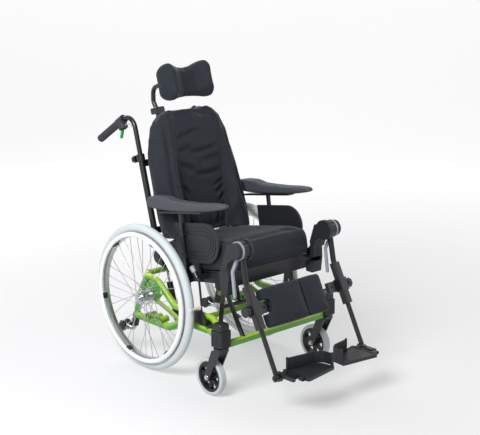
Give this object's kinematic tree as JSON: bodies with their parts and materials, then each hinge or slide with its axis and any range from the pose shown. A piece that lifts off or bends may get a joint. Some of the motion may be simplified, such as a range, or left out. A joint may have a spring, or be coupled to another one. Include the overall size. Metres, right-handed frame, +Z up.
{
  "type": "tilt in space wheelchair",
  "caption": "Manual wheelchair with a tilting seat, reclining back, headrest, armrests, elevating legrests, spoked rear wheels and swivelling casters.",
  "frame": {"origin": "on the floor under the middle of the chair's length and width", "axes": "+X to the user's left, -Y towards the front, +Z up"},
  "size_m": [0.648, 1.2504, 1.2399],
  "materials": {
    "frame_green": "glossy lime green powder coat",
    "frame_black": "satin black powder coat",
    "black_plastic": "moulded black plastic",
    "grey_plastic": "moulded grey plastic",
    "handrim_coat": "white plastic coat",
    "tyre_grey": "light grey rubber",
    "caster_tyre_grey": "grey rubber",
    "rim_alloy": "satin anodised",
    "spoke_steel": "polished",
    "axle_steel": "machined",
    "tube_steel": "zinc plated",
    "seat_fabric": "black woven cover",
    "arm_pad_foam": "dark grey skinned foam",
    "grip_rubber": "moulded black rubber",
    "lever_green": "moulded green plastic",
    "cable_sheath": "light grey sheath"
  },
  "bodies": {
    "chassis": {"rear_hoop": "frame_green", "side_frames": "frame_green", "cross_tubes": "frame_green", "tilt_brackets": "frame_black", "frame_clamps": "black_plastic", "caster_housings": "black_plastic", "rear_axles": "axle_steel"},
    "rear_wheel_left": {"rear_tyre_left": "tyre_grey", "rear_rim_left": "rim_alloy", "rear_hub_left": "spoke_steel", "handrim_left": "handrim_coat"},
    "caster_fork_left": {"caster_fork_left": "frame_black"},
    "caster_wheel_left": {"caster_core_left": "black_plastic", "caster_tyre_left": "caster_tyre_grey"},
    "antitip_left": {"antitip_tube_left": "tube_steel"},
    "antitip_wheel_left": {"antitip_wheel_left": "black_plastic"},
    "brake_lever_left": {"brake_lever_left": "frame_black"},
    "brake_pin_left": {"brake_pin_left": "frame_black"},
    "rear_wheel_right": {"rear_tyre_right": "tyre_grey", "rear_rim_right": "rim_alloy", "rear_hub_right": "spoke_steel", "handrim_right": "handrim_coat"},
    "caster_fork_right": {"caster_fork_right": "frame_black"},
    "caster_wheel_right": {"caster_core_right": "black_plastic", "caster_tyre_right": "caster_tyre_grey"},
    "antitip_right": {"antitip_tube_right": "tube_steel"},
    "antitip_wheel_right": {"antitip_wheel_right": "black_plastic"},
    "brake_lever_right": {"brake_lever_right": "frame_black"},
    "brake_pin_right": {"brake_pin_right": "frame_black"},
    "spring_cylinders": {"spring_cylinders": "frame_black"},
    "spring_rods": {"spring_rods": "axle_steel"},
    "seat": {"seat_rails": "frame_black", "seat_pan": "frame_black", "seat_cushion": "seat_fabric", "side_panels": "black_plastic"},
    "armrest_left": {"arm_post_left": "frame_black", "arm_pad_left": "arm_pad_foam"},
    "armrest_right": {"arm_post_right": "frame_black", "arm_pad_right": "arm_pad_foam"},
    "backrest": {"back_frame": "frame_black", "back_shell": "black_plastic", "back_cushion": "seat_fabric"},
    "headrest_arm": {"headrest_arm": "frame_black"},
    "headrest_pad": {"headrest_pad": "seat_fabric"},
    "push_handles": {"handle_tubes": "frame_black", "handle_grips": "grip_rubber", "release_cables": "cable_sheath"},
    "release_levers": {"release_levers": "lever_green"},
    "leg_hanger_left": {"leg_hanger_left": "black_plastic"},
    "knee_lever_left": {"knee_lever_left": "grey_plastic"},
    "leg_upper_left": {"leg_upper_left": "frame_black"},
    "leg_lower_left": {"leg_lower_left": "frame_black"},
    "footplate_left": {"footplate_left": "black_plastic"},
    "calf_pad_left": {"calf_pad_left": "seat_fabric"},
    "leg_hanger_right": {"leg_hanger_right": "black_plastic"},
    "knee_lever_right": {"knee_lever_right": "grey_plastic"},
    "leg_upper_right": {"leg_upper_right": "frame_black"},
    "leg_lower_right": {"leg_lower_right": "frame_black"},
    "footplate_right": {"footplate_right": "black_plastic"},
    "calf_pad_right": {"calf_pad_right": "seat_fabric"}
  },
  "joints": [
    {"name": "rear_wheel_spin_left", "type": "hinge", "parent": "chassis", "child": "rear_wheel_left", "pos_m": [0.288, 0.2228, 0.304], "axis": [1, 0, 0], "continuous": true},
    {"name": "caster_swivel_left", "type": "hinge", "parent": "chassis", "child": "caster_fork_left", "pos_m": [0.29, -0.2472, 0.25], "axis": [0, 0, 1], "continuous": true},
    {"name": "caster_spin_left", "type": "hinge", "parent": "caster_fork_left", "child": "caster_wheel_left", "pos_m": [0.29, -0.1882, 0.075], "axis": [1, 0, 0], "continuous": true},
    {"name": "antitip_swing_left", "type": "hinge", "parent": "chassis", "child": "antitip_left", "pos_m": [0.232, 0.3558, 0.173], "axis": [0, -0.2909, 0.9568], "range_deg": [0, 180]},
    {"name": "antitip_spin_left", "type": "hinge", "parent": "antitip_left", "child": "antitip_wheel_left", "pos_m": [0.232, 0.4328, 0.122], "axis": [1, 0, 0], "continuous": true},
    {"name": "brake_left", "type": "hinge", "parent": "chassis", "child": "brake_lever_left", "pos_m": [0.252, -0.0802, 0.284], "axis": [1, 0, 0], "range_deg": [0, 35]},
    {"name": "brake_press_left", "type": "hinge", "parent": "chassis", "child": "brake_pin_left", "pos_m": [0.252, -0.1222, 0.262], "axis": [-1, 0, 0], "range_deg": [0, 3.6]},
    {"name": "rear_wheel_spin_right", "type": "hinge", "parent": "chassis", "child": "rear_wheel_right", "pos_m": [-0.288, 0.2228, 0.304], "axis": [1, 0, 0], "continuous": true},
    {"name": "caster_swivel_right", "type": "hinge", "parent": "chassis", "child": "caster_fork_right", "pos_m": [-0.29, -0.2472, 0.25], "axis": [0, 0, 1], "continuous": true},
    {"name": "caster_spin_right", "type": "hinge", "parent": "caster_fork_right", "child": "caster_wheel_right", "pos_m": [-0.29, -0.1882, 0.075], "axis": [1, 0, 0], "continuous": true},
    {"name": "antitip_swing_right", "type": "hinge", "parent": "chassis", "child": "antitip_right", "pos_m": [-0.232, 0.3558, 0.173], "axis": [0, 0.2909, -0.9568], "range_deg": [0, 180]},
    {"name": "antitip_spin_right", "type": "hinge", "parent": "antitip_right", "child": "antitip_wheel_right", "pos_m": [-0.232, 0.4328, 0.122], "axis": [1, 0, 0], "continuous": true},
    {"name": "brake_right", "type": "hinge", "parent": "chassis", "child": "brake_lever_right", "pos_m": [-0.252, -0.0802, 0.284], "axis": [1, 0, 0], "range_deg": [0, 35]},
    {"name": "brake_press_right", "type": "hinge", "parent": "chassis", "child": "brake_pin_right", "pos_m": [-0.252, -0.1222, 0.262], "axis": [-1, 0, 0], "range_deg": [0, 3.6]},
    {"name": "spring_foot", "type": "hinge", "parent": "chassis", "child": "spring_cylinders", "pos_m": [0, 0.1548, 0.198], "axis": [-1, 0, 0], "range_deg": [-5, 10]},
    {"name": "spring_stroke", "type": "slide", "parent": "spring_cylinders", "child": "spring_rods", "axis": [0, 0.298, 0.9546], "range_m": [-0.0925, 0.0465]},
    {"name": "tilt", "type": "hinge", "parent": "chassis", "child": "seat", "pos_m": [0, -0.1362, 0.408], "axis": [-1, 0, 0], "range_deg": [-7.5, 15]},
    {"name": "armrest_height_left", "type": "slide", "parent": "seat", "child": "armrest_left", "axis": [0, 0.1478, 0.989], "range_m": [-0.04, 0.04]},
    {"name": "armrest_height_right", "type": "slide", "parent": "seat", "child": "armrest_right", "axis": [0, 0.1478, 0.989], "range_m": [-0.04, 0.04]},
    {"name": "recline", "type": "hinge", "parent": "seat", "child": "backrest", "pos_m": [0, 0.23463, 0.45369], "axis": [-1, 0, 0], "range_deg": [0, 24]},
    {"name": "headrest_height", "type": "slide", "parent": "backrest", "child": "headrest_arm", "axis": [0, 0.2588, 0.9659], "range_m": [-0.02, 0.09]},
    {"name": "headrest_tilt", "type": "hinge", "parent": "headrest_arm", "child": "headrest_pad", "pos_m": [0, 0.31291, 1.17087], "axis": [-1, 0, 0], "range_deg": [-15, 15]},
    {"name": "handle_height", "type": "slide", "parent": "backrest", "child": "push_handles", "axis": [0, 0.2588, 0.9659], "range_m": [-0.03, 0.1]},
    {"name": "lever_squeeze", "type": "hinge", "parent": "push_handles", "child": "release_levers", "pos_m": [0, 0.46407, 0.9662], "axis": [1, 0, 0], "range_deg": [0, 18], "stiffness_Nm_per_rad": 0.8, "springref_deg": -11.46},
    {"name": "leg_swing_left", "type": "hinge", "parent": "seat", "child": "leg_hanger_left", "pos_m": [0.236, -0.2141, 0.45503], "axis": [0, 0.1478, 0.989], "range_deg": [0, 90]},
    {"name": "knee_release_left", "type": "hinge", "parent": "leg_hanger_left", "child": "knee_lever_left", "pos_m": [0.254, -0.30718, 0.59199], "axis": [-1, 0, 0], "range_deg": [0, 8], "stiffness_Nm_per_rad": 1.5, "springref_deg": -17.19},
    {"name": "leg_elevation_left", "type": "hinge", "parent": "leg_hanger_left", "child": "leg_upper_left", "pos_m": [0.236, -0.30718, 0.59199], "axis": [-1, 0, 0], "range_deg": [0, 50]},
    {"name": "leg_length_left", "type": "slide", "parent": "leg_upper_left", "child": "leg_lower_left", "axis": [0, -0.4478, -0.8942], "range_m": [-0.03, 0.06]},
    {"name": "foot_flip_left", "type": "hinge", "parent": "leg_lower_left", "child": "footplate_left", "pos_m": [0.208, -0.55719, 0.15305], "axis": [0, 1, 0], "range_deg": [0, 88]},
    {"name": "calf_tilt_left", "type": "hinge", "parent": "leg_upper_left", "child": "calf_pad_left", "pos_m": [0.168, -0.36966, 0.37053], "axis": [1, 0, 0], "range_deg": [-10, 10]},
    {"name": "leg_swing_right", "type": "hinge", "parent": "seat", "child": "leg_hanger_right", "pos_m": [-0.236, -0.2141, 0.45503], "axis": [0, -0.1478, -0.989], "range_deg": [0, 90]},
    {"name": "knee_release_right", "type": "hinge", "parent": "leg_hanger_right", "child": "knee_lever_right", "pos_m": [-0.254, -0.30718, 0.59199], "axis": [-1, 0, 0], "range_deg": [0, 8], "stiffness_Nm_per_rad": 1.5, "springref_deg": -17.19},
    {"name": "leg_elevation_right", "type": "hinge", "parent": "leg_hanger_right", "child": "leg_upper_right", "pos_m": [-0.236, -0.30718, 0.59199], "axis": [-1, 0, 0], "range_deg": [0, 50]},
    {"name": "leg_length_right", "type": "slide", "parent": "leg_upper_right", "child": "leg_lower_right", "axis": [0, -0.4478, -0.8942], "range_m": [-0.03, 0.06]},
    {"name": "foot_flip_right", "type": "hinge", "parent": "leg_lower_right", "child": "footplate_right", "pos_m": [-0.208, -0.55719, 0.15305], "axis": [0, -1, 0], "range_deg": [0, 88]},
    {"name": "calf_tilt_right", "type": "hinge", "parent": "leg_upper_right", "child": "calf_pad_right", "pos_m": [-0.168, -0.36966, 0.37053], "axis": [1, 0, 0], "range_deg": [-10, 10]}
  ],
  "couplings": [
    {"joint": "brake_press_left", "follows": "brake_left", "ratio": 0.098},
    {"joint": "brake_press_right", "follows": "brake_right", "ratio": 0.098},
    {"joint": "spring_foot", "follows": "tilt", "ratio": 0.5882},
    {"joint": "spring_stroke", "follows": "tilt", "m_per_rad": -0.34514}
  ]
}
